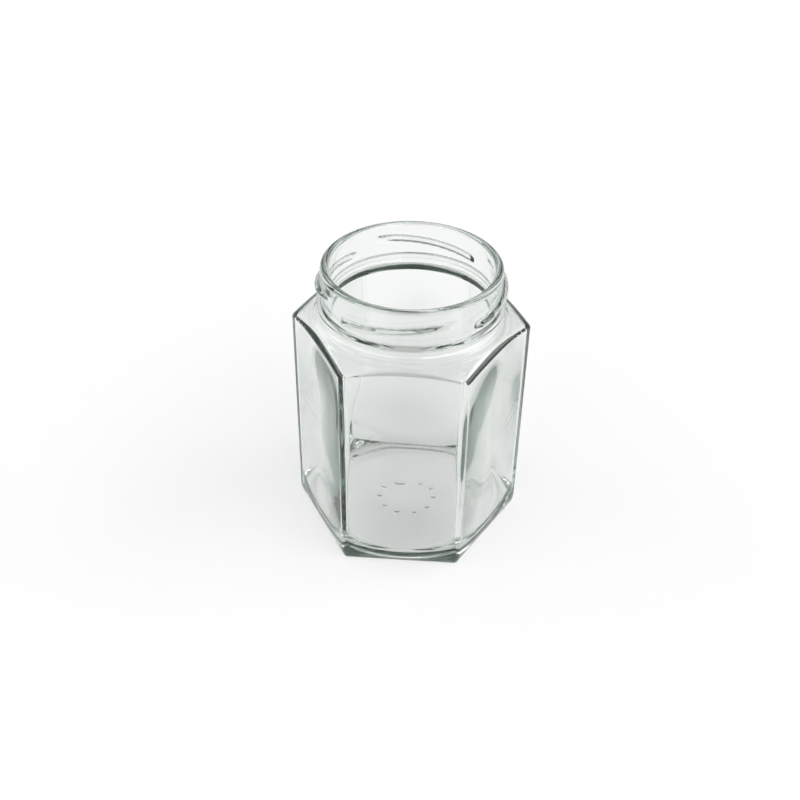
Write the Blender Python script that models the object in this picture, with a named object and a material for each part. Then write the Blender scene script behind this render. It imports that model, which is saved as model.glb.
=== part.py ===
"""Hexagonal glass food jar with a round twist-off neck, open and empty.

The jar is one piece of blown glass. It stands on z = 0 with its axis on +Z, and one of
its six flat panels faces -Y. Its skin is a loft of closed rings: it starts under the base,
climbs the outside from a rounded hexagon to the round neck, turns over the rim and
goes down the inside to the floor. Four sloping thread lugs are then joined to the neck.
The panels are thickest in their middles, and the floor turns up into the corners in a
shallow pocket, as in any jar that is blown into its mould.
"""
import math

import bmesh
import bpy

MM = 0.001

# Body: a rounded hexagon, measured on the outside, over a heel that is a quarter ellipse
HEIGHT = 95.5 * MM
ACROSS_FLATS = 65.8 * MM
CORNER_RADIUS = 2.0 * MM
HEEL_INSET = 1.8 * MM
HEEL_HEIGHT = 5.5 * MM
HEEL_CORNER_RADIUS = 0.5 * MM

# Wall: its thickness in a corner, and how much more there is in the middle of a panel
WALL = 2.1 * MM
INNER_CORNER_RADIUS = 2.6 * MM
SWELL_TOP = 1.8 * MM
SWELL_FOOT = 0.6 * MM
SWELL_TOP_Z = 70.0 * MM
SWELL_FOOT_Z = 8.0 * MM
SWELL_FALL_TOP = 1.0
SWELL_FALL_FOOT = 1.3
SWELL_EASE = 0.12
SWELL_FADE = 0.8
SWELL_FADE_Z = 56.0 * MM
SWELL_END_Z = 74.0 * MM

# Base: a flat bearing ring round a shallow push-up, and the floor inside with its pocket
PUSH_UP_RADIUS = 28.2 * MM
PUSH_UP_DEPTH = 0.9 * MM
PUSH_UP_STEP = 0.4 * MM
PUSH_UP_STEP_WIDTH = 2.0 * MM
PUSH_UP_RINGS = (0.3, 0.6, 0.8)
PUSH_UP_STEP_RINGS = (1.0, 0.7, 0.3, 0.0)
FLOOR_Z = 3.0 * MM
POCKET_FOOT_RADIUS = 28.9 * MM
POCKET_REACH = 5.9 * MM
POCKET_SLOPE_RISE = 4.0 * MM
POCKET_CURVE_RISE = 3.0 * MM
POCKET_RINGS = (0.8, 0.55, 0.25, 0.0)
FLOOR_RINGS = (0.65, 0.3)

# Shoulder: a shallow cone that cuts the hexagon, blended softly into it
SHOULDER_CORNER_Z = 75.4 * MM
SHOULDER_SLOPE = math.radians(22.0)
SHOULDER_BLEND = 3.2 * MM
SHOULDER_THICKNESS = 2.2 * MM
INNER_SHOULDER_BLEND = 1.0 * MM

# Neck, with the bead under its thread
NECK_RADIUS = 28.1 * MM
BORE_RADIUS = 25.4 * MM
RIM_ROUND = 1.35 * MM
NECK_FILLET = 2.2 * MM
BORE_FILLET = 3.0 * MM
BEAD_Z = 82.6 * MM
BEAD_HALF_HEIGHT = 1.6 * MM
BEAD_PROUD = 1.5 * MM
BEAD_RINGS = (-1.0, -0.65, -0.3, 0.0, 0.3, 0.65, 1.0)

# Thread lugs: four ridges that fall clockwise as seen from above
LUG_COUNT = 4
LUG_START_ANGLE = math.radians(122.0)
LUG_SPAN = math.radians(78.0)
LUG_START_Z = 90.1 * MM
LUG_DROP = 3.7 * MM
LUG_SECTION_RADIUS = 1.3 * MM
LUG_PROUD = 1.75 * MM
LUG_BURIED = 0.2 * MM
LUG_LEAD_IN = 0.22
LUG_RUN_OUT = 0.08
LUG_POINTS = 21
LUG_BEVEL_RESOLUTION = 2

# Fineness of the faceted solid
SIDES = 6
FLAT_STEPS = 4
ARC_STEPS = 3
SHOULDER_RINGS = 10
INNER_SHOULDER_RINGS = 8
WALL_RINGS = 6
HEEL_STEPS = 5
RIM_STEPS = 4
MERGE_DISTANCE = 0.01 * MM

APOTHEM = ACROSS_FLATS / 2
HALF_SIDE = math.pi / SIDES
CORNER_REACH = APOTHEM / math.cos(HALF_SIDE)
INNER_APOTHEM = APOTHEM - WALL
SLOPE_RISE = math.tan(SHOULDER_SLOPE)
SHOULDER_DROP = SHOULDER_THICKNESS / math.cos(SHOULDER_SLOPE)


def cone_z(radius):
    """Height of the shoulder's outer cone at a distance from the axis."""
    return SHOULDER_CORNER_Z + (CORNER_REACH - radius) * SLOPE_RISE


# The shoulder's rings start where its blend does, and end just above the cone's meeting
# with the neck or the bore, where the fillet there has run out
SHOULDER_FOOT_Z = cone_z(CORNER_REACH + SHOULDER_BLEND)
SHOULDER_TOP_Z = cone_z(NECK_RADIUS - NECK_FILLET)
INNER_FOOT_Z = cone_z(CORNER_REACH + INNER_SHOULDER_BLEND) - SHOULDER_DROP
INNER_TOP_Z = cone_z(BORE_RADIUS - BORE_FILLET) - SHOULDER_DROP


def clear_scene():
    """Remove every object, so that the script can be run again."""
    for item in list(bpy.data.objects):
        bpy.data.objects.remove(item, do_unlink=True)


def make_collection(name):
    """Return a new collection linked to the scene."""
    group = bpy.data.collections.new(name)
    bpy.context.scene.collection.children.link(group)
    return group


def make_glass():
    """Soda-lime container glass: clear, with a faint green cast."""
    material = bpy.data.materials.new("container_glass")
    material.use_nodes = True
    shader = material.node_tree.nodes["Principled BSDF"]
    shader.inputs["Base Color"].default_value = (0.86, 0.93, 0.89, 1.0)
    shader.inputs["Roughness"].default_value = 0.03
    shader.inputs["Metallic"].default_value = 0.0
    shader.inputs["IOR"].default_value = 1.52
    shader.inputs["Transmission Weight"].default_value = 1.0
    return material


def soft_min(a, b, blend):
    """The smaller of two lengths, rounded off where they are within blend of each other."""
    overlap = max(blend - abs(a - b), 0.0) / blend
    return min(a, b) - overlap * overlap * blend / 4


def soft_max(a, b, blend):
    """The larger of two lengths, rounded in the same way."""
    return -soft_min(-a, -b, blend)


def flat_angle(apothem, corner_radius):
    """The angle from a panel's middle to the start of its rounded corner."""
    return math.atan2((apothem - corner_radius) * math.tan(HALF_SIDE), apothem)


def hexagon_radius(angle, apothem, corner_radius):
    """Distance from the axis to a rounded hexagon with a panel square to -Y."""
    off_panel = (angle + math.pi / 2 + HALF_SIDE) % (2 * HALF_SIDE) - HALF_SIDE
    off_panel = abs(off_panel)
    if off_panel < flat_angle(apothem, corner_radius):
        return apothem / math.cos(off_panel)
    centre = (apothem - corner_radius) / math.cos(HALF_SIDE)
    off_corner = HALF_SIDE - off_panel
    across = centre * math.sin(off_corner)
    return centre * math.cos(off_corner) + math.sqrt(corner_radius**2 - across**2)


def hexagon_angles(apothem, corner_radius):
    """Directions of the ring's points on a rounded hexagon, close together on its corners."""
    half = []
    for step in range(FLAT_STEPS):
        along = (apothem - corner_radius) * math.tan(HALF_SIDE) * step / FLAT_STEPS
        half.append(math.atan2(along, apothem))
    centre = (apothem - corner_radius) / math.cos(HALF_SIDE)
    for step in range(ARC_STEPS):
        turn = HALF_SIDE * (1 - step / ARC_STEPS)
        ahead = centre + corner_radius * math.cos(turn)
        half.append(HALF_SIDE - math.atan2(corner_radius * math.sin(turn), ahead))
    side = half + [2 * HALF_SIDE - angle for angle in [HALF_SIDE] + half[:0:-1]]
    first_panel = -math.pi / 2
    return [first_panel + 2 * HALF_SIDE * number + angle for number in range(SIDES) for angle in side]


def round_angles():
    """The same points spread evenly round a circle."""
    count = SIDES * 2 * (FLAT_STEPS + ARC_STEPS)
    return [-math.pi / 2 + 2 * math.pi * number / count for number in range(count)]


OUTER_ANGLES = hexagon_angles(APOTHEM, CORNER_RADIUS)
INNER_ANGLES = hexagon_angles(INNER_APOTHEM, INNER_CORNER_RADIUS)
ROUND_ANGLES = round_angles()


def ring(angles, roundness, radius_at, z_at):
    """One closed ring of points, between the hexagon's directions and evenly spread ones."""
    points = []
    for square_angle, round_angle in zip(angles, ROUND_ANGLES):
        angle = square_angle + (round_angle - square_angle) * roundness
        radius = radius_at(angle)
        points.append((radius * math.cos(angle), radius * math.sin(angle), z_at(angle)))
    return points


def round_ring(radius, z):
    """One circular ring."""
    return ring(OUTER_ANGLES, 1.0, lambda angle: radius, lambda angle: z)


def smooth_step(share):
    """Rises from 0 to 1 with level ends."""
    share = min(max(share, 0.0), 1.0)
    return share * share * (3 - 2 * share)


def push_up_height(radius):
    """Height of the underside: a low dome whose edge is a small soft step."""
    step = PUSH_UP_STEP * smooth_step((PUSH_UP_RADIUS - radius) / PUSH_UP_STEP_WIDTH)
    dome = (PUSH_UP_DEPTH - PUSH_UP_STEP) * (1 - (radius / PUSH_UP_RADIUS)**2)
    return step + dome


def base_rings():
    """From the middle of the push-up out to the foot of the panels."""
    radii = [PUSH_UP_RADIUS * share for share in PUSH_UP_RINGS]
    radii += [PUSH_UP_RADIUS - PUSH_UP_STEP_WIDTH * share for share in PUSH_UP_STEP_RINGS]
    rings = [round_ring(radius, push_up_height(radius)) for radius in radii]
    for step in range(HEEL_STEPS + 1):
        turn = math.pi / 2 * step / HEEL_STEPS
        inset = HEEL_INSET * (1 - math.sin(turn))
        z = HEEL_HEIGHT * (1 - math.cos(turn))

        def radius_at(angle):
            return hexagon_radius(angle, APOTHEM - inset, max(CORNER_RADIUS - inset, HEEL_CORNER_RADIUS))

        rings.append(ring(OUTER_ANGLES, 0.0, radius_at, lambda angle: z))
    return rings


def neck_radius(z):
    """The neck's outside with its bead, a smooth hump."""
    height = abs(z - BEAD_Z) / BEAD_HALF_HEIGHT
    hump = math.cos(math.pi / 2 * min(height, 1.0))**2
    return NECK_RADIUS + BEAD_PROUD * hump


def shoulder_rings():
    """From the panels' tops over the shoulder to the foot of the neck."""
    rings = []
    for step in range(SHOULDER_RINGS + 1):
        share = step / SHOULDER_RINGS
        z = SHOULDER_FOOT_Z + (SHOULDER_TOP_Z - SHOULDER_FOOT_Z) * share
        cone = CORNER_REACH - (z - SHOULDER_CORNER_Z) / SLOPE_RISE

        def radius_at(angle):
            panel = soft_min(hexagon_radius(angle, APOTHEM, CORNER_RADIUS), cone, SHOULDER_BLEND)
            return soft_max(panel, NECK_RADIUS, NECK_FILLET)

        rings.append(ring(OUTER_ANGLES, share, radius_at, lambda angle: z))
    return rings


def neck_rings():
    """Up the neck over its bead, round the rim and down the bore."""
    rings = []
    for share in BEAD_RINGS:
        z = BEAD_Z + share * BEAD_HALF_HEIGHT
        rings.append(round_ring(neck_radius(z), z))
    rim_z = HEIGHT - RIM_ROUND
    for side, middle in ((1, NECK_RADIUS - RIM_ROUND), (-1, BORE_RADIUS + RIM_ROUND)):
        for step in range(RIM_STEPS + 1):
            turn = math.pi / 2 * step / RIM_STEPS
            if side < 0:
                turn = math.pi / 2 - turn
            radius = middle + side * RIM_ROUND * math.cos(turn)
            rings.append(round_ring(radius, rim_z + RIM_ROUND * math.sin(turn)))
    return rings


def swell(angle, z):
    """How much thicker the wall is than in a corner: most in a panel's middle, above mid-height."""
    off_panel = abs((angle + math.pi / 2 + HALF_SIDE) % (2 * HALF_SIDE) - HALF_SIDE)
    up = min(max((z - SWELL_FOOT_Z) / (SWELL_TOP_Z - SWELL_FOOT_Z), 0.0), 1.0)
    depth = SWELL_FOOT + (SWELL_TOP - SWELL_FOOT) * up
    depth *= 1 - SWELL_FADE * smooth_step((z - SWELL_FADE_Z) / (SWELL_END_Z - SWELL_FADE_Z))
    fall = SWELL_FALL_FOOT + (SWELL_FALL_TOP - SWELL_FALL_FOOT) * up
    share = math.tan(off_panel) / math.tan(HALF_SIDE)
    eased = (share**2 + SWELL_EASE**2)**(fall / 2) - SWELL_EASE**fall
    full = (1 + SWELL_EASE**2)**(fall / 2) - SWELL_EASE**fall
    return depth * (1 - eased / full) / math.cos(off_panel)


def wall_radius(angle, z):
    """The inner face of the wall, below the shoulder."""
    return hexagon_radius(angle, INNER_APOTHEM, INNER_CORNER_RADIUS) - swell(angle, z)


def pocket_share(angle):
    """How far along the pocket's profile it meets the wall: 0 at its foot and 1 at its end."""
    return min((wall_radius(angle, FLOOR_Z) - POCKET_FOOT_RADIUS) / POCKET_REACH, 1.0)


def pocket_height(share):
    """The pocket's profile: a slope plus part of an ellipse, from the floor upwards."""
    curve = 1 - math.sqrt(max(1 - share * share, 0.0))
    return FLOOR_Z + POCKET_SLOPE_RISE * share + POCKET_CURVE_RISE * curve


def cavity_rings():
    """From the foot of the bore under the shoulder, down the walls and over the floor."""
    rings = []
    for step in range(INNER_SHOULDER_RINGS + 1):
        share = step / INNER_SHOULDER_RINGS
        z = INNER_TOP_Z + (INNER_FOOT_Z - INNER_TOP_Z) * share
        cone = CORNER_REACH - (z + SHOULDER_DROP - SHOULDER_CORNER_Z) / SLOPE_RISE

        def radius_at(angle):
            body = soft_min(wall_radius(angle, z), cone, INNER_SHOULDER_BLEND)
            return soft_max(body, BORE_RADIUS, BORE_FILLET)

        rings.append(ring(INNER_ANGLES, 1 - share, radius_at, lambda angle: z))
    for step in range(1, WALL_RINGS + 1):
        down = step / WALL_RINGS

        def z_at(angle):
            return INNER_FOOT_Z + (pocket_height(pocket_share(angle)) - INNER_FOOT_Z) * down

        rings.append(ring(INNER_ANGLES, 0.0, lambda angle: wall_radius(angle, z_at(angle)), z_at))
    for part in POCKET_RINGS:
        rings.append(ring(INNER_ANGLES, 0.0,
                          lambda angle: POCKET_FOOT_RADIUS + POCKET_REACH * pocket_share(angle) * part,
                          lambda angle: pocket_height(pocket_share(angle) * part)))
    for part in FLOOR_RINGS:
        rings.append(ring(INNER_ANGLES, 1 - part, lambda angle: POCKET_FOOT_RADIUS * part,
                          lambda angle: FLOOR_Z))
    return rings


def loft(name, rings, first_pole, last_pole):
    """Skin neighbouring rings with quads, and close both ends with a fan to a pole."""
    shell = bmesh.new()
    loops = [[shell.verts.new(point) for point in points] for points in rings]
    count = len(loops[0])
    for lower, upper in zip(loops, loops[1:]):
        for number in range(count):
            after = (number + 1) % count
            shell.faces.new((lower[number], lower[after], upper[after], upper[number]))
    bottom = shell.verts.new(first_pole)
    top = shell.verts.new(last_pole)
    for number in range(count):
        after = (number + 1) % count
        shell.faces.new((bottom, loops[0][after], loops[0][number]))
        shell.faces.new((top, loops[-1][number], loops[-1][after]))
    mesh = bpy.data.meshes.new(name)
    shell.to_mesh(mesh)
    shell.free()
    return mesh


def lug_path(start_angle):
    """Centre line of one lug: it rises out of the neck's wall, slopes down and dives back."""
    buried = NECK_RADIUS - LUG_SECTION_RADIUS - LUG_BURIED
    proud = NECK_RADIUS + LUG_PROUD - LUG_SECTION_RADIUS
    points = []
    for number in range(LUG_POINTS):
        share = number / (LUG_POINTS - 1)
        rise = min(share / LUG_LEAD_IN, (1 - share) / LUG_RUN_OUT, 1.0)
        radius = buried + (proud - buried) * math.sin(math.pi / 2 * rise)
        angle = start_angle - LUG_SPAN * share
        z = LUG_START_Z - LUG_DROP * share
        points.append((radius * math.cos(angle), radius * math.sin(angle), z))
    return points


def make_lug(number, collection):
    """One thread lug as a curve with a round section, made a closed mesh."""
    name = f"thread_lug_{number + 1}"
    curve = bpy.data.curves.new(name, "CURVE")
    curve.dimensions = "3D"
    curve.bevel_depth = LUG_SECTION_RADIUS
    curve.bevel_resolution = LUG_BEVEL_RESOLUTION
    curve.use_fill_caps = True
    points = lug_path(LUG_START_ANGLE - 2 * math.pi * number / LUG_COUNT)
    spline = curve.splines.new("POLY")
    spline.points.add(len(points) - 1)
    for target, point in zip(spline.points, points):
        target.co = (*point, 1.0)
    guide = bpy.data.objects.new(f"{name}_path", curve)
    collection.objects.link(guide)
    bpy.context.view_layer.update()
    evaluated = guide.evaluated_get(bpy.context.evaluated_depsgraph_get())
    mesh = bpy.data.meshes.new_from_object(evaluated)
    closed = bmesh.new()
    closed.from_mesh(mesh)
    bmesh.ops.remove_doubles(closed, verts=closed.verts, dist=MERGE_DISTANCE)
    closed.to_mesh(mesh)
    closed.free()
    lug = bpy.data.objects.new(name, mesh)
    lug.matrix_world = guide.matrix_world
    lug.hide_render = True
    lug.display_type = "WIRE"
    collection.objects.link(lug)
    bpy.data.objects.remove(guide, do_unlink=True)
    return lug


def join_lugs(jar, collection):
    """Make the lugs one body with the jar, and remove the loose ones."""
    union = jar.modifiers.new("thread lugs", "BOOLEAN")
    union.operation = "UNION"
    union.operand_type = "COLLECTION"
    union.collection = collection
    union.solver = "EXACT"
    bpy.context.view_layer.update()
    evaluated = jar.evaluated_get(bpy.context.evaluated_depsgraph_get())
    joined = bpy.data.meshes.new_from_object(evaluated)
    joined.name = jar.name
    jar.modifiers.clear()
    jar.data = joined
    for lug in list(collection.objects):
        bpy.data.objects.remove(lug, do_unlink=True)
    bpy.data.collections.remove(collection)


def make_jar(collection, glass):
    """The whole jar, as one object."""
    rings = base_rings() + shoulder_rings() + neck_rings() + cavity_rings()
    mesh = loft("hex_jar", rings, (0, 0, PUSH_UP_DEPTH), (0, 0, FLOOR_Z))
    mesh.materials.append(glass)
    jar = bpy.data.objects.new("hex_jar", mesh)
    collection.objects.link(jar)
    lugs = make_collection("Jar thread lugs")
    for number in range(LUG_COUNT):
        make_lug(number, lugs)
    join_lugs(jar, lugs)
    jar.data.shade_smooth()
    jar.data.set_sharp_from_angle(angle=math.radians(30))
    return jar


def main():
    clear_scene()
    make_jar(make_collection("Hexagonal jar"), make_glass())


main()
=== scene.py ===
# %% [markdown]
# # A hexagonal glass jar
# This lesson dresses one small food jar: clear container glass, hexagonal in plan, open at
# the top, with a round neck whose sloping lugs hold a twist-off lid. Almost everything that
# the eye reads on clear glass is refraction, so the lesson spends its effort on the true
# thickness of the glass and on what stands round it, and very little on colour.

import bpy
import numpy as np
from mathutils import Matrix, Vector


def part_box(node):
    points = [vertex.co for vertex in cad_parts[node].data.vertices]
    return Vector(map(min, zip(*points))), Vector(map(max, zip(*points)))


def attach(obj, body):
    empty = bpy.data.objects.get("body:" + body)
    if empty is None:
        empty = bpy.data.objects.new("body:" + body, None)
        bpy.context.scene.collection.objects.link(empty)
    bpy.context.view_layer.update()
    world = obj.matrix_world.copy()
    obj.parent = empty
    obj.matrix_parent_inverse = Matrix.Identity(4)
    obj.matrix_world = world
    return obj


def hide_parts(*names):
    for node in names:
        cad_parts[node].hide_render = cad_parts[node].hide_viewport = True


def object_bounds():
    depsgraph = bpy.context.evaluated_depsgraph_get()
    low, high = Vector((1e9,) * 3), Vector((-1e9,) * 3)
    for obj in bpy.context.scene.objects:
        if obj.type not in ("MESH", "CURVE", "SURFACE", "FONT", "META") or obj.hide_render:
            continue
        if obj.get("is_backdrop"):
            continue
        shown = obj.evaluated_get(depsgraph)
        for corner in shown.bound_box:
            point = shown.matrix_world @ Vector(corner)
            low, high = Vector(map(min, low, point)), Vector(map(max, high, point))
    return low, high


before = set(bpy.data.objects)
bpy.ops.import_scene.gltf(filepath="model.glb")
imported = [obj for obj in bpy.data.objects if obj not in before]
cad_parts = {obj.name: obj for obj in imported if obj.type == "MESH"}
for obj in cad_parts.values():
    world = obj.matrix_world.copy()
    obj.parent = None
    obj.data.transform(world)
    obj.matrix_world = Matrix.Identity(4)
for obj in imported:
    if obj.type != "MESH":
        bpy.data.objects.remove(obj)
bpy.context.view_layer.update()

MM = 0.001
JAR_LOW, JAR_HIGH = (np.array(corner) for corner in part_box("hex_jar"))
HEIGHT = JAR_HIGH[2]
ACROSS_FLATS = JAR_HIGH[1] - JAR_LOW[1]
print(f"jar {HEIGHT / MM:.1f} mm tall, {ACROSS_FLATS / MM:.1f} mm across its flats")

# %% [markdown]
# ## The grid's columns
# The jar is one piece of glass, so it is one closed skin here. It could be carved from a
# solid with booleans, but glass shows every crooked facet. A grid of points gives smooth
# normals: each column runs from the middle of the underside, up the outside, over the rim
# and down the inside to the middle of the floor. On the body the columns crowd into the six
# rounded corners, and on the neck they are spread evenly, so that the thread is as smooth
# as the corners are.

# %% Columns of the grid
SIDES = 6
HALF_SIDE = np.pi / SIDES
FLAT_STEPS = 20
ARC_STEPS = 12
COLUMNS = SIDES * 2 * (FLAT_STEPS + ARC_STEPS)
ROUND_ANGLES = -np.pi / 2 + 2 * np.pi * np.arange(COLUMNS) / COLUMNS


def hexagon_angles(apothem, corner_radius):
    """Directions of the columns: even steps along each flat, and even turns round each corner.

    A step along a flat is seen from the axis under the arctangent of step over apothem, and a
    turn round a corner under that of its sine over its cosine plus the corner's distance.
    """
    along = (apothem - corner_radius) * np.tan(HALF_SIDE) * np.arange(FLAT_STEPS) / FLAT_STEPS
    flat = np.arctan2(along, apothem)
    turn = HALF_SIDE * (1 - np.arange(ARC_STEPS) / ARC_STEPS)
    centre = (apothem - corner_radius) / np.cos(HALF_SIDE)
    arc = HALF_SIDE - np.arctan2(corner_radius * np.sin(turn), centre + corner_radius * np.cos(turn))
    half = np.concatenate([flat, arc])
    side = np.concatenate([half, [HALF_SIDE], 2 * HALF_SIDE - half[:0:-1]])
    panels = -np.pi / 2 + 2 * HALF_SIDE * np.arange(SIDES)
    return (panels[:, None] + side).ravel()


print(f"{COLUMNS} columns, {COLUMNS // SIDES} for each panel and its corner")

# %% [markdown]
# ## Rings and skin
# The rows of the grid are rings round the jar. Each ring has a height, a share of roundness
# and a radius in every column. The rings lie close together where the form turns and far
# apart where it is plain, which spends the triangles where the glass bends light. A small
# class collects them, so that each part of the jar can add its own rings in turn.


# %% Skin of rings
class Skin:
    """Collects rings of points and skins them into one closed mesh."""

    def __init__(self):
        self.rings = []

    def add(self, wall, roundness, radius, z):
        """Add rings: a point lies at radius times the cosine and sine of its column, at z.

        Roundness moves the columns from where the wall, a hexagon with round corners, wants
        them (0) to evenly spread ones (1). Radius may be a function of angle and z, and z one
        of angle.
        """
        roundness = np.atleast_1d(roundness)[:, None]
        angle = hexagon_angles(*wall)
        angle = angle + (ROUND_ANGLES - angle) * roundness
        height = z(angle) if callable(z) else np.atleast_1d(z)[:, None]
        reach = radius(angle, height) if callable(radius) else np.atleast_1d(radius)[:, None]
        reach, height = (np.broadcast_to(part, angle.shape) for part in (reach, height))
        self.rings.append(np.stack([reach * np.cos(angle), reach * np.sin(angle), height], axis=-1))
        print(f"{len(angle)} rings from {height[0].mean() / MM:.1f} to {height[-1].mean() / MM:.1f} mm up")

    def mesh(self, name):
        """Quads between neighbouring rings, and a fan to a pole at each end."""
        grid = np.concatenate(self.rings)
        count = len(grid)
        poles = [grid[0].mean(axis=0), grid[-1].mean(axis=0)]
        points = np.concatenate([grid.reshape(-1, 3), poles])
        ids = np.arange(count * COLUMNS).reshape(count, COLUMNS)
        after = np.roll(ids, -1, axis=1)
        quads = np.stack([ids[:-1], after[:-1], after[1:], ids[1:]], axis=-1).reshape(-1, 4)
        bottom = np.stack([np.full(COLUMNS, count * COLUMNS), after[0], ids[0]], axis=-1)
        top = np.stack([np.full(COLUMNS, count * COLUMNS + 1), ids[-1], after[-1]], axis=-1)
        mesh = bpy.data.meshes.new(name)
        mesh.from_pydata(points, [], quads.tolist() + bottom.tolist() + top.tolist())
        mesh.update()
        mesh.shade_smooth()
        return mesh


skin = Skin()
print("skin ready for its rings")

# %% [markdown]
# ## The body's form
# The body is a hexagon whose corners are rounded by the mould, and the shoulder above it is
# a shallow cone. Modelled apart, they would need a trimmed joint and a bevel. Here both are
# distances from the axis, and the smaller one counts. A soft minimum rounds the edge where
# they meet, so each panel's top bows up between its corners as the real one does.

# %% Sizes of the body and shoulder
APOTHEM = ACROSS_FLATS / 2
CORNER_REACH = APOTHEM / np.cos(HALF_SIDE)
CORNER_RADIUS = 2.0 * MM
OUTER = (APOTHEM, CORNER_RADIUS)
SHOULDER_CORNER_Z = 75.4 * MM
SHOULDER_SLOPE = np.radians(22.0)
SHOULDER_BLEND = 3.2 * MM
print(f"sharp corners would reach {CORNER_REACH / MM:.2f} mm from the axis")


# %% Helpers that round and fade
def soft_min(a, b, blend):
    """The smaller of two lengths, less a quarter of their squared overlap within the blend."""
    overlap = np.maximum(blend - np.abs(a - b), 0.0) / blend
    return np.minimum(a, b) - overlap**2 * blend / 4


def soft_max(a, b, blend):
    """The larger of two lengths, rounded in the same way."""
    return -soft_min(-a, -b, blend)


def smooth_step(share):
    """Rises from 0 to 1 with level ends, as 3 s squared less 2 s cubed."""
    share = np.clip(share, 0.0, 1.0)
    return share**2 * (3 - 2 * share)


def hump(distance, width):
    """1 in the middle and 0 from the width outwards, level at both: a squared cosine."""
    return np.cos(np.pi / 2 * np.clip(np.abs(distance) / width, 0, 1))**2


print(f"two equal lengths of 10 mm, blended over 4 mm, give {soft_min(10.0, 10.0, 4.0):.1f} mm")


# %% Form of the body and shoulder
def off_panel_middle(angle):
    """The angle from the nearest panel's middle."""
    return np.abs((angle + np.pi / 2 + HALF_SIDE) % (2 * HALF_SIDE) - HALF_SIDE)


def hexagon_radius(angle, apothem, corner_radius):
    """Distance from the axis to a rounded hexagon with a panel square to -Y.

    On a flat it is the apothem over the cosine of the angle off its middle, and on a corner
    the far crossing of the line of sight with the corner's circle.
    """
    off_panel = off_panel_middle(angle)
    centre = (apothem - corner_radius) / np.cos(HALF_SIDE)
    off_corner = HALF_SIDE - off_panel
    across = centre * np.sin(off_corner)
    arc = centre * np.cos(off_corner) + np.sqrt(np.maximum(corner_radius**2 - across**2, 0.0))
    flat_end = np.arctan2((apothem - corner_radius) * np.tan(HALF_SIDE), apothem)
    return np.where(off_panel < flat_end, apothem / np.cos(off_panel), arc)


def cone_radius(z):
    """Distance from the axis to the shoulder's cone: less by the rise over the slope."""
    return CORNER_REACH - (z - SHOULDER_CORNER_Z) / np.tan(SHOULDER_SLOPE)


def cone_z(radius):
    """Height of the shoulder's cone at a distance from the axis, the other way round."""
    return SHOULDER_CORNER_Z + (CORNER_REACH - radius) * np.tan(SHOULDER_SLOPE)


print(f"rounded corners reach {hexagon_radius(-np.pi / 2 + HALF_SIDE, *OUTER) / MM:.2f} mm")

# %% [markdown]
# ## Underside
# Under a glass jar the middle is pushed up a little, so that it stands on a ring. The
# push-up's edge is a small step, which shows through the floor as a line. Makers knurl the
# bearing ring with fine notches, so that hot glass doesn't drag on the belt, and a ring of
# small raised dots in the middle tells which mould a jar came from. A bump map would shade
# such relief but not bend the light, so it is real, with the rings laid close together there.

# %% Sizes under the jar
PUSH_UP_RADIUS = 28.2 * MM
PUSH_UP_DEPTH = 0.9 * MM
PUSH_UP_STEP = 0.4 * MM
PUSH_UP_STEP_WIDTH = 2.0 * MM
KNURL_COUNT = 96
KNURL_DEPTH = 0.1 * MM
KNURL_RING = 30.0 * MM
KNURL_HALF_WIDTH = 0.6 * MM
DOT_COUNT = 10
DOT_RING = 8.0 * MM
DOT_RADIUS = 1.1 * MM
DOT_PROUD = 0.4 * MM
print(f"notches {2 * np.pi * KNURL_RING / KNURL_COUNT / MM:.1f} mm apart, "
      f"dots {2 * np.pi * DOT_RING / DOT_COUNT / MM:.1f} mm apart")


# %% Underside
def push_up_height(reach):
    """Height of the push-up: a smooth step at its edge, and a dome of one less reach squared."""
    inwards = PUSH_UP_RADIUS - reach
    step = PUSH_UP_STEP * smooth_step(inwards / PUSH_UP_STEP_WIDTH)
    dome = (PUSH_UP_DEPTH - PUSH_UP_STEP) * (1 - np.clip(reach / PUSH_UP_RADIUS, 0, 1)**2)
    return np.where(inwards > 0, step + dome, 0.0)


def underside_height(angle, reach):
    """The push-up, plus notches that are a cosine round the ring, less a hump at each dot."""
    notch = (0.5 - 0.5 * np.cos(KNURL_COUNT * angle)) * hump(reach - KNURL_RING, KNURL_HALF_WIDTH)
    pitch = 2 * np.pi / DOT_COUNT
    off_dot = ((angle + pitch / 2) % pitch - pitch / 2) * DOT_RING
    dot = hump(np.hypot(off_dot, reach - DOT_RING), DOT_RADIUS)
    return push_up_height(reach) + KNURL_DEPTH * notch - DOT_PROUD * dot


reach = np.concatenate([[1 * MM, 4 * MM],
                        DOT_RING + np.linspace(-1.1, 1.1, 10) * DOT_RADIUS,
                        np.linspace(12 * MM, PUSH_UP_RADIUS - 1.2 * PUSH_UP_STEP_WIDTH, 5),
                        PUSH_UP_RADIUS - np.linspace(PUSH_UP_STEP_WIDTH, 0, 7),
                        KNURL_RING + np.linspace(-1, 1, 7) * KNURL_HALF_WIDTH])
skin.add(OUTER, 1 + 0 * reach, reach, lambda angle: underside_height(angle, reach[:, None]))

# %% [markdown]
# ## Heel
# Where the wall turns into the base, the mould is rounded by a quarter ellipse, and the
# hexagon shrinks as it goes down, so its corners grow sharper. A bevel on the bottom edge
# would keep one width all round. Here each ring is the hexagon of its own inset. Light from
# all sides meets in the heel, which makes it the darkest and greenest part of the jar.

# %% Heel
HEEL_INSET = 1.8 * MM
HEEL_HEIGHT = 5.5 * MM
HEEL_CORNER_RADIUS = 0.5 * MM


def arc_steps(count, skip_first=False):
    """Even turns from 0 to a right angle."""
    turns = np.linspace(0, np.pi / 2, count + 1)
    return turns[1:] if skip_first else turns


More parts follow.
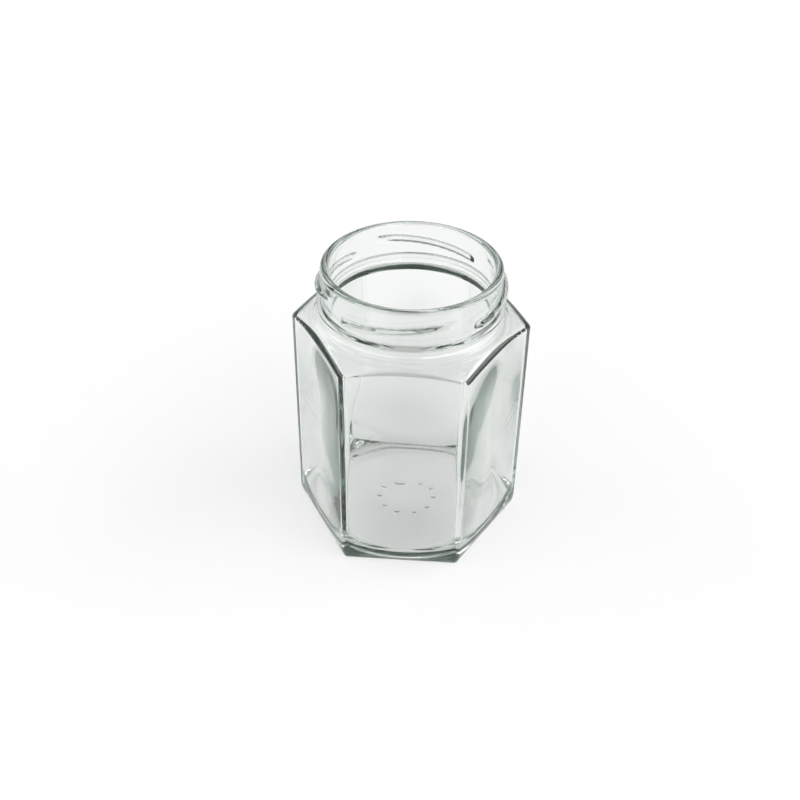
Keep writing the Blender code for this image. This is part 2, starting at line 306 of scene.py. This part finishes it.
turn = arc_steps(14)
inset = HEEL_INSET * (1 - np.sin(turn))[:, None]
corner = np.maximum(CORNER_RADIUS - inset, HEEL_CORNER_RADIUS)
skin.add(OUTER, 0 * turn, lambda angle, z: hexagon_radius(angle, APOTHEM - inset, corner),
         HEEL_HEIGHT * (1 - np.cos(turn)))

# %% [markdown]
# ## Neck
# The neck is round. A bead runs all the way round its foot, and four lugs slope above it:
# ridges that start thin, fall clockwise as seen from above and end bluntly, for a lid to
# climb under. The two halves of the neck's mould leave a faint seam on each side. Ridges
# could be swept along curves and joined on, but a joint shows in glass, so each one is
# relief that is added to the neck's radius.

# %% Sizes of the neck
NECK_RADIUS = 28.1 * MM
BORE_RADIUS = 25.4 * MM
RIM_ROUND = (NECK_RADIUS - BORE_RADIUS) / 2
NECK_FILLET = 2.2 * MM
BEAD_Z = 82.6 * MM
BEAD_HALF_HEIGHT = 1.6 * MM
BEAD_PROUD = 1.5 * MM

LUG_COUNT = 4
LUG_START_ANGLE = np.radians(122.0)
LUG_SPAN = np.radians(78.0)
LUG_START_Z = 90.1 * MM
LUG_DROP = 3.7 * MM
LUG_HALF_HEIGHT = 1.3 * MM
LUG_PROUD = 1.75 * MM
LUG_LEAD_IN = 0.22
LUG_RUN_OUT = 0.08

SEAM_ANGLE = np.radians(100.0)
SEAM_PROUD = 0.12 * MM
SEAM_HALF_WIDTH = 0.7 * MM
print(f"thread {2 * (NECK_RADIUS + LUG_PROUD) / MM:.1f} mm across its lugs, "
      f"rim {2 * RIM_ROUND / MM:.1f} mm thick")


# %% Form of the neck
def lug_relief(angle, z):
    """How far the lugs stand out: a cosine across a falling line, faded in and out along it."""
    relief = np.zeros(np.broadcast(angle, z).shape)
    for number in range(LUG_COUNT):
        start = LUG_START_ANGLE - 2 * np.pi * number / LUG_COUNT
        share = ((start - angle + 0.5) % (2 * np.pi) - 0.5) / LUG_SPAN
        off_line = (z - LUG_START_Z + LUG_DROP * share) / LUG_HALF_HEIGHT
        ridge = np.cos(np.pi / 2 * np.clip(np.abs(off_line), 0, 1))
        fade = smooth_step(share / LUG_LEAD_IN) * smooth_step((1 - share) / LUG_RUN_OUT)
        relief = np.maximum(relief, LUG_PROUD * ridge * fade)
    return relief


def seam(angle):
    """Two faint ridges, opposite each other: a hump of the distance round the neck."""
    off_seam = (angle - SEAM_ANGLE + np.pi / 2) % np.pi - np.pi / 2
    return SEAM_PROUD * hump(off_seam * NECK_RADIUS, SEAM_HALF_WIDTH)


def neck_radius(angle, z):
    """The neck's radius, plus the larger of bead and seam, plus the lugs."""
    bead = BEAD_PROUD * hump(z - BEAD_Z, BEAD_HALF_HEIGHT)
    return NECK_RADIUS + np.maximum(bead, seam(angle)) + lug_relief(angle, z)


def outside_radius(angle, z):
    """The outside: the soft minimum of hexagon and cone, softly joined to the neck."""
    body = soft_min(hexagon_radius(angle, *OUTER), cone_radius(z), SHOULDER_BLEND)
    return soft_max(body, neck_radius(angle, z), NECK_FILLET)


print(f"at the bead the neck is {2 * neck_radius(0.0, BEAD_Z) / MM:.1f} mm across")

# %% [markdown]
# ## Panels, shoulder, neck and rim
# The six panels are flat, so eight rings carry them. The shoulder and the thread turn all
# the way and get rings every half millimetre or less. The rim is a half round: a lid seals
# on it, and it is fire-polished, so it has no edge. One function gives the whole outside,
# so the shoulder needs no seam where it leaves the hexagon or meets the neck.

# %% Outside, from the heel to the rim
shoulder_foot = cone_z(CORNER_REACH + SHOULDER_BLEND)
shoulder_top = cone_z(NECK_RADIUS + 0.3 * NECK_FILLET)
neck_top = HEIGHT - RIM_ROUND
skin.add(OUTER, np.zeros(7), outside_radius, np.linspace(HEEL_HEIGHT, shoulder_foot, 8)[1:])
share = np.linspace(0, 1, 37)[1:]
skin.add(OUTER, share, outside_radius, shoulder_foot + (shoulder_top - shoulder_foot) * share)
skin.add(OUTER, np.ones(50), outside_radius, np.linspace(shoulder_top, neck_top, 51)[1:])
for middle, turn in ((NECK_RADIUS - RIM_ROUND, arc_steps(8, skip_first=True)),
                     (BORE_RADIUS + RIM_ROUND, np.pi / 2 + arc_steps(8))):
    skin.add(OUTER, 1 + 0 * turn, middle + RIM_ROUND * np.cos(turn), neck_top + RIM_ROUND * np.sin(turn))

# %% [markdown]
# ## The inside
# Nothing guides the inside of a blown jar. The glass that reaches the corners last is
# stretched thin, and the middle of each panel stays thick. So the inside follows the outside
# at the wall's thickness, keeps sharp corners, and swells inwards in mid-panel, more and
# more towards the top, until it fades below the shoulder. Thickening one mesh evenly would
# miss that slight wedge, which is what turns light aside in the panels seen at a slant. On
# top come ripples of less than a tenth of a millimetre: unseen themselves, they bend every
# line behind them.

# %% Sizes of the inside
WALL = 2.1 * MM
INNER_CORNER_RADIUS = 2.6 * MM
INNER = (APOTHEM - WALL, INNER_CORNER_RADIUS)
SWELL_TOP = 1.8 * MM
SWELL_FOOT = 0.6 * MM
SWELL_FALL_TOP = 1.0
SWELL_FALL_FOOT = 1.3
SWELL_EASE = 0.12
SWELL_FADE = 0.8
SWELL_FOOT_Z = 8.0 * MM
SWELL_TOP_Z = 70.0 * MM
SWELL_FADE_Z = 56.0 * MM
SWELL_END_Z = 74.0 * MM

RIPPLE = 0.07 * MM
RIPPLE_WAVES = ((7, 4.0 * MM, 0.0), (11, -7.0 * MM, 2.0), (4, 2.7 * MM, 1.0))
RIPPLE_START_Z = 15.0 * MM
RIPPLE_FULL_Z = 30.0 * MM
SHOULDER_RIPPLE = 0.09 * MM
SHOULDER_RIPPLE_PITCH = 1.9 * MM
SHOULDER_RIPPLE_START = 2.0 * MM
SHOULDER_RIPPLE_END = 9.0 * MM
SHOULDER_RIPPLE_FADE = 6.0 * MM
SHOULDER_WANDER = ((3, 0.7, 0.0), (7, 0.4, 1.0))

SHOULDER_THICKNESS = 2.2 * MM
SHOULDER_DROP = SHOULDER_THICKNESS / np.cos(SHOULDER_SLOPE)
INNER_SHOULDER_BLEND = 1.0 * MM
BORE_FILLET = 3.0 * MM
print(f"the inner shoulder lies {SHOULDER_DROP / MM:.1f} mm below the outer one")


# %% Form of the inside
def swell(angle, z):
    """How far a panel swells inwards: 1 less an eased power of the way to the corner.

    Its depth and its power change evenly from the foot to the top, and the depth fades
    under the shoulder. The ease takes the kink out of the panel's middle.
    """
    off_panel = off_panel_middle(angle)
    share = np.tan(off_panel) / np.tan(HALF_SIDE)
    up = np.clip((z - SWELL_FOOT_Z) / (SWELL_TOP_Z - SWELL_FOOT_Z), 0, 1)
    depth = SWELL_FOOT + (SWELL_TOP - SWELL_FOOT) * up
    depth = depth * (1 - SWELL_FADE * smooth_step((z - SWELL_FADE_Z) / (SWELL_END_Z - SWELL_FADE_Z)))
    fall = SWELL_FALL_FOOT + (SWELL_FALL_TOP - SWELL_FALL_FOOT) * up
    eased = (share**2 + SWELL_EASE**2)**(fall / 2) - SWELL_EASE**fall
    full = (1 + SWELL_EASE**2)**(fall / 2) - SWELL_EASE**fall
    return depth * (1 - eased / full) / np.cos(off_panel)


def ripple(angle, z):
    """Slow waves that the mould doesn't smooth out: the mean of three sines aslant to each other."""
    waves = sum(np.sin(turns * angle + z / rise + phase) for turns, rise, phase in RIPPLE_WAVES)
    return RIPPLE / len(RIPPLE_WAVES) * waves


def shoulder_ripple(angle, z):
    """Fine rings under the neck: a sine of the distance from the bore, whose phase wanders."""
    from_bore = cone_radius(z + SHOULDER_DROP) - BORE_RADIUS
    fade = (smooth_step(from_bore / SHOULDER_RIPPLE_START)
            * smooth_step((SHOULDER_RIPPLE_END - from_bore) / SHOULDER_RIPPLE_FADE))
    wander = sum(size * np.sin(turns * angle + phase) for turns, size, phase in SHOULDER_WANDER)
    return SHOULDER_RIPPLE * fade * np.sin(2 * np.pi * from_bore / SHOULDER_RIPPLE_PITCH + wander)


def inside_radius(angle, z):
    """The inside from bore to pocket: the outside's rule again, a wall's thickness further in."""
    wall = hexagon_radius(angle, *INNER) - swell(angle, z)
    wall = wall + ripple(angle, z) * smooth_step((z - RIPPLE_START_Z) / (RIPPLE_FULL_Z - RIPPLE_START_Z))
    slope = cone_radius(z + SHOULDER_DROP) + shoulder_ripple(angle, z) / np.tan(SHOULDER_SLOPE)
    return soft_max(soft_min(wall, slope, INNER_SHOULDER_BLEND), BORE_RADIUS, BORE_FILLET)


levels = np.linspace(SWELL_FOOT_Z, SWELL_END_Z, 100)
thickness = WALL + swell(-np.pi / 2, levels)
print(f"wall {WALL / MM:.1f} mm in a corner, and in mid-panel up to {thickness.max() / MM:.1f} mm, "
      f"{levels[thickness.argmax()] / MM:.0f} mm up")

# %% Bore and inner shoulder
bore_foot = cone_z(BORE_RADIUS - BORE_FILLET) - SHOULDER_DROP
inner_foot = cone_z(CORNER_REACH + INNER_SHOULDER_BLEND) - SHOULDER_DROP
skin.add(OUTER, np.ones(7), inside_radius, np.linspace(neck_top, bore_foot, 8)[1:])
share = np.linspace(1, 0, 35)[1:]
skin.add(INNER, share, inside_radius, inner_foot + (bore_foot - inner_foot) * share)

# %% [markdown]
# ## Floor and pockets
# The floor of a blown jar is round, like the bubble that it was, and in each corner of the
# hexagon it climbs to the wall in a rounded pocket. Seen through the front panel, these
# give the line round the floor. A floor cut flat would show a plain hexagon instead. So the
# foot of the wall is a slice of an ellipse in every column: it starts on a circle and meets
# the wall low in mid-panel and high in the corners.

# %% Inner walls, pockets and floor
FLOOR_Z = 3.0 * MM
POCKET_RISE = 3.0 * MM
POCKET_SLOPE_RISE = 4.0 * MM
POCKET_REACH = 5.9 * MM
POCKET_FOOT_RADIUS = 28.9 * MM


def pocket_share(angle):
    """How far along the pocket's ellipse it meets the wall: 0 at the floor and 1 upright."""
    wall = hexagon_radius(angle, *INNER) - swell(angle, FLOOR_Z)
    return np.minimum((wall - POCKET_FOOT_RADIUS) / POCKET_REACH, 1.0)


def pocket_height(share):
    """Height along the pocket: one less the root of one less share squared, plus a slope."""
    curve = POCKET_RISE * (1 - np.sqrt(np.maximum(1 - share**2, 0.0)))
    return FLOOR_Z + curve + POCKET_SLOPE_RISE * share


share = np.linspace(0, 1, 31)[1:, None]
skin.add(INNER, 0 * share[:, 0], inside_radius,
         lambda angle: inner_foot + (pocket_height(pocket_share(angle)) - inner_foot) * share)
share = np.concatenate([[0.99], np.linspace(0.95, 0, 16)])[:, None]
skin.add(INNER, 0 * share[:, 0],
         lambda angle, z: POCKET_FOOT_RADIUS + POCKET_REACH * pocket_share(angle) * share,
         lambda angle: pocket_height(pocket_share(angle) * share))
share = np.linspace(0.93, 0.03, 10)
skin.add(INNER, 1 - share, POCKET_FOOT_RADIUS * share, FLOOR_Z + 0 * share)

# %% Close the skin
mesh = skin.mesh("jar_glass")
jar = bpy.data.objects.new("jar_glass", mesh)
bpy.context.scene.collection.objects.link(jar)
print(f"jar_glass {len(mesh.polygons)} faces, {sum(len(p.vertices) - 2 for p in mesh.polygons)} triangles")

# %% [markdown]
# ## Glass
# The jar is soda-lime container glass, blown in a mould and fire-polished. Its index is
# 1.52, a thin wall has no colour of its own, and its iron gives a green cast where light
# runs far through it. A green surface colour would tint each crossing alike, thick or thin.
# So the surface is white and quite smooth, which gives the eye hard, clear reflections, and
# the green is absorption in the body, which shows only in the heel and along the edges.


# %% Helpers for colours and nodes
def linear(hex_colour):
    """An sRGB hex colour as linear light, with alpha 1: the standard's line and power curve."""
    values = np.array([int(hex_colour[i:i + 2], 16) for i in (1, 3, 5)]) / 255
    low = values / 12.92
    high = ((values + 0.055) / 1.055)**2.4
    return (*np.where(values <= 0.04045, low, high), 1.0)


def add_node(tree, kind, inputs=(), **settings):
    """Add a node, set its properties, and give each named or numbered input a value or a link.

    A node that is given for an input stands for its first output.
    """
    node = tree.nodes.new(kind)
    for name, value in settings.items():
        setattr(node, name, value)
    for name, value in dict(inputs).items():
        if isinstance(value, bpy.types.Node):
            value = value.outputs[0]
        if isinstance(value, bpy.types.NodeSocket):
            tree.links.new(value, node.inputs[name])
        else:
            node.inputs[name].default_value = value
    return node


print(f"middle grey #808080 is {linear('#808080')[0]:.3f} as linear light")

# %% Glass
GLASS_INDEX = 1.52
ABSORPTION_PER_M = (31.0, 25.5, 29.0)


def container_glass():
    """Fire-polished soda-lime glass: no roughness, and light lost by an exponent of its path."""
    material = bpy.data.materials.new("container_glass")
    material.use_nodes = True
    tree = material.node_tree
    tree.nodes.clear()
    surface = add_node(tree, "ShaderNodeBsdfPrincipled", {
        "Base Color": linear("#ffffff"), "Roughness": 0.0, "IOR": GLASS_INDEX, "Transmission Weight": 1.0})
    density = max(ABSORPTION_PER_M)
    tint = (*(1 - value / density for value in ABSORPTION_PER_M), 1.0)
    body = add_node(tree, "ShaderNodeVolumeAbsorption", {"Color": tint, "Density": density})
    add_node(tree, "ShaderNodeOutputMaterial", {"Surface": surface, "Volume": body})
    return material


jar.data.materials.append(container_glass())
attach(jar, "root")
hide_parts("hex_jar")
passed = np.exp(-np.array(ABSORPTION_PER_M) * 30 * MM)
print("30 mm of this glass pass", ", ".join(f"{share:.0%}" for share in passed), "of red, green and blue")

# %% [markdown]
# ## Ground
# The jar stands on a white sheet of opal acrylic that glows, with a lamp under it. Lighting
# a matt white floor from above would do for a solid thing, but glass would then throw dark
# caustics. A painted shadow dims the glow below and behind the jar, a soft patch in the
# sheet's own light, so that the glass reads grey against a white ground. The sheet lies a
# hair below the jar, because faces that share a place would flicker.

# %% Floor
FLOOR_SIZE = 3.0
FLOOR_GAP = 0.05 * MM
FLOOR_GLOW = 0.60
# Painted shadow: how far the glow drops under and behind the jar, its middle, its reaches and where its
# edge starts.
FLOOR_PAINTED_SHADE = 0.11
PAINTED_SHADE_MIDDLE = (0.0, 46 * MM, 0.0)
PAINTED_SHADE_REACH = (34 * MM, 90 * MM, 1.0)
PAINTED_SHADE_EDGE = 0.6


def opal_acrylic_painted_shade():
    """Matt opal sheet: no gloss, pale grey to light from above, white by its own glow.

    The glow is a smooth step of the distance from the middle of a painted shadow, in its reaches, and is
    dimmer inside it.
    """
    material = bpy.data.materials.new("opal_acrylic_painted_shade")
    material.use_nodes = True
    tree = material.node_tree
    tree.nodes.clear()
    place = add_node(tree, "ShaderNodeTexCoord")
    moved = add_node(tree, "ShaderNodeMapping", {
        "Vector": place.outputs["Object"], "Location": PAINTED_SHADE_MIDDLE, "Scale": PAINTED_SHADE_REACH},
        vector_type="TEXTURE")
    off_middle = add_node(tree, "ShaderNodeVectorMath", {0: moved}, operation="LENGTH")
    # Painted shadow: the glow is dimmer near the middle of a patch under and behind the jar.
    glow = add_node(tree, "ShaderNodeMapRange", {
        "Value": off_middle.outputs["Value"], "From Min": PAINTED_SHADE_EDGE, "From Max": 1.0,
        "To Min": FLOOR_GLOW - FLOOR_PAINTED_SHADE, "To Max": FLOOR_GLOW}, interpolation_type="SMOOTHSTEP")
    surface = add_node(tree, "ShaderNodeBsdfPrincipled", {
        "Base Color": linear("#9b9b9b"), "Roughness": 0.9, "Specular IOR Level": 0.0,
        "Emission Color": linear("#ffffff"), "Emission Strength": glow})
    add_node(tree, "ShaderNodeOutputMaterial", {"Surface": surface})
    return material


corners = [(x * FLOOR_SIZE, y * FLOOR_SIZE, -FLOOR_GAP) for x, y in ((-1, -1), (1, -1), (1, 1), (-1, 1))]
mesh = bpy.data.meshes.new("floor")
mesh.from_pydata(corners, [], [(0, 1, 2, 3)])
mesh.materials.append(opal_acrylic_painted_shade())
floor = bpy.data.objects.new("floor", mesh)
bpy.context.scene.collection.objects.link(floor)
floor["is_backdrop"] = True
# The dimmer value is the glow inside the painted shadow under and behind the jar.
print(f"floor glows at {FLOOR_GLOW:.2f}, and {FLOOR_GLOW - FLOOR_PAINTED_SHADE:.2f} over the card, where white is 1")

# %% [markdown]
# ## Light
# Clear glass shows what stands round it and hardly anything else, so lamps would only add
# pinpoint glints. A photographer lights it by bright and dark areas: here a pale room under
# a darker ceiling, white low down where the ground runs on, with a tall bank on each side
# and one behind. A black gap stands where the camera is, and a dark card above the ground
# at the back. Bright areas fill the glass, and dark ones draw its edges. All of it is
# painted on the world by azimuth and elevation, in degrees.

# %% Directions of the studio
world = bpy.data.worlds.new("studio")
bpy.context.scene.world = world
world.use_nodes = True
studio = world.node_tree
studio.nodes.clear()
direction = add_node(studio, "ShaderNodeTexCoord")
along = add_node(studio, "ShaderNodeSeparateXYZ", {"Vector": direction.outputs["Generated"]})
azimuth = add_node(studio, "ShaderNodeMath", {
    0: along.outputs["Y"], 1: along.outputs["X"]}, operation="ARCTAN2")
azimuth = add_node(studio, "ShaderNodeMath", {0: azimuth}, operation="DEGREES")
elevation = add_node(studio, "ShaderNodeMath", {0: along.outputs["Z"]}, operation="ARCSINE")
elevation = add_node(studio, "ShaderNodeMath", {0: elevation}, operation="DEGREES")


def bank(centre, half_width, low, high, edge=8.0):
    """1 inside an area of light or shade and 0 outside: three smooth steps, multiplied.

    They are of the azimuth off its centre, turned into half a circle either way, and of the
    elevation past its foot and below its top.
    """
    off_centre = add_node(studio, "ShaderNodeMath", {0: azimuth, 1: 180.0 - centre}, operation="ADD")
    off_centre = add_node(studio, "ShaderNodeMath", {0: off_centre, 1: 360.0}, operation="FLOORED_MODULO")
    off_centre = add_node(studio, "ShaderNodeMath", {0: off_centre, 1: 180.0}, operation="SUBTRACT")
    off_centre = add_node(studio, "ShaderNodeMath", {0: off_centre}, operation="ABSOLUTE")
    across, above, below = (
        add_node(studio, "ShaderNodeMapRange", {"Value": value, "From Min": outer, "From Max": inner},
                 interpolation_type="SMOOTHSTEP")
        for value, outer, inner in ((off_centre, half_width + edge, half_width - edge),
                                    (elevation, low - edge / 2, low + edge / 2),
                                    (elevation, high + edge / 2, high - edge / 2)))
    tall = add_node(studio, "ShaderNodeMath", {0: above, 1: below}, operation="MULTIPLY")
    return add_node(studio, "ShaderNodeMath", {0: across, 1: tall}, operation="MULTIPLY")


print("azimuth 0 is along +X and -90 towards the camera, elevation 0 is level")

# %% Room, banks and dark areas
GROUND_LEVEL = 1.0
GROUND_ENDS = (1.0, 14.0)
ROOM_LEVEL = 0.61
CEILING_LEVEL = 0.33
CEILING_STARTS = (32.0, 48.0)
BANKS = {"right": (3.16, -20, 54, 16, 55), "left": (3.52, 204, 54, 29, 44), "back": (1.61, 109, 33, 31, 44)}
SHADES = {"camera gap": (1.0, -90, 15, -90, 82), "back card": (0.7, 90, 32, 15, 30)}
SHADE_EDGE = 10.0

low_room, ceiling = (
    add_node(studio, "ShaderNodeMapRange", {
        "Value": elevation, "From Min": ends[0], "From Max": ends[1], "To Min": below, "To Max": above},
        interpolation_type="SMOOTHSTEP")
    for ends, below, above in ((GROUND_ENDS, GROUND_LEVEL, ROOM_LEVEL),
                               (CEILING_STARTS, 0.0, CEILING_LEVEL - ROOM_LEVEL)))
light = add_node(studio, "ShaderNodeMath", {0: low_room, 1: ceiling}, operation="ADD")
for name, (strength, *place) in BANKS.items():
    light = add_node(studio, "ShaderNodeMath", {
        0: bank(*place), 1: strength, 2: light}, operation="MULTIPLY_ADD")
    print(f"{name} bank: {strength} times white, {2 * place[1]} degrees wide, {place[3] - place[2]} tall")
for name, (depth, *place) in SHADES.items():
    shade = add_node(studio, "ShaderNodeMath", {
        0: bank(*place, edge=SHADE_EDGE), 1: -depth, 2: 1.0}, operation="MULTIPLY_ADD")
    light = add_node(studio, "ShaderNodeMath", {0: light, 1: shade}, operation="MULTIPLY")
    print(f"{name}: takes {depth:.0%} of the light, {2 * place[1]} degrees wide")
background = add_node(studio, "ShaderNodeBackground", {"Color": linear("#ffffff"), "Strength": light})
add_node(studio, "ShaderNodeOutputWorld", {"Surface": background})

# %% [markdown]
# ## Camera
# The view is from above and from close by, which is why the jar narrows so much towards its
# foot. A camera can be placed by eye, but a direction, a distance and a focal length say
# the same and can be measured. The focal length is in pixels of a picture 800 pixels wide,
# and the small roll is that of a camera held a little askew.

# %% Camera
VIEW_TARGET = Vector((-2.97, -0.18, 43.16)) * MM
VIEW_AZIMUTH = np.radians(3.48)
VIEW_ELEVATION = np.radians(37.09)
VIEW_DISTANCE = 363.1 * MM
VIEW_ROLL = np.radians(0.945)
FOCAL_PIXELS = 1090.2
PICTURE_PIXELS = 800
SENSOR_WIDTH = 36.0

outwards = Vector((np.sin(VIEW_AZIMUTH) * np.cos(VIEW_ELEVATION),
                   -np.cos(VIEW_AZIMUTH) * np.cos(VIEW_ELEVATION), np.sin(VIEW_ELEVATION)))
lens = bpy.data.cameras.new("camera")
lens.sensor_width = SENSOR_WIDTH
lens.lens = SENSOR_WIDTH * FOCAL_PIXELS / PICTURE_PIXELS
lens.clip_start = 10 * MM
camera = bpy.data.objects.new("camera", lens)
bpy.context.scene.collection.objects.link(camera)
camera.location = VIEW_TARGET + outwards * VIEW_DISTANCE
turned = outwards.to_track_quat("Z", "Y").to_matrix().to_4x4() @ Matrix.Rotation(VIEW_ROLL, 4, "Z")
camera.rotation_euler = turned.to_euler()
bpy.context.scene.camera = camera
print(f"lens {lens.lens:.1f} mm, {VIEW_DISTANCE / MM:.0f} mm from the jar, "
      f"looking {np.degrees(VIEW_ELEVATION):.0f} degrees down")

# %% [markdown]
# ## Colour and light paths
# A filmic view would turn the white ground grey and soften the dark lines, so the plain
# sRGB view is used. Each ray crosses the glass many times, in by one wall and out by
# another, and round inside the heel. A path that is cut short there ends black, so there
# are far more bounces than a matt thing needs.

# %% Colour and light paths
MOST_BOUNCES = 64
scene = bpy.context.scene
scene.view_settings.view_transform = "Standard"
scene.cycles.use_denoising = True
scene.cycles.max_bounces = MOST_BOUNCES
scene.cycles.transmission_bounces = MOST_BOUNCES
scene.cycles.glossy_bounces = MOST_BOUNCES
print(f"up to {MOST_BOUNCES} bounces")

# %% [markdown]
# ## Size and finish
# The skin has to fill the same box as the solid that it dresses. The skin's box is printed
# last, which ends the lesson.

# %% Print the skin's box and finish
visual_low, visual_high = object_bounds()
print("visual model", " x ".join(f"{(b - a) / MM:.1f}" for a, b in zip(visual_low, visual_high)), "mm")
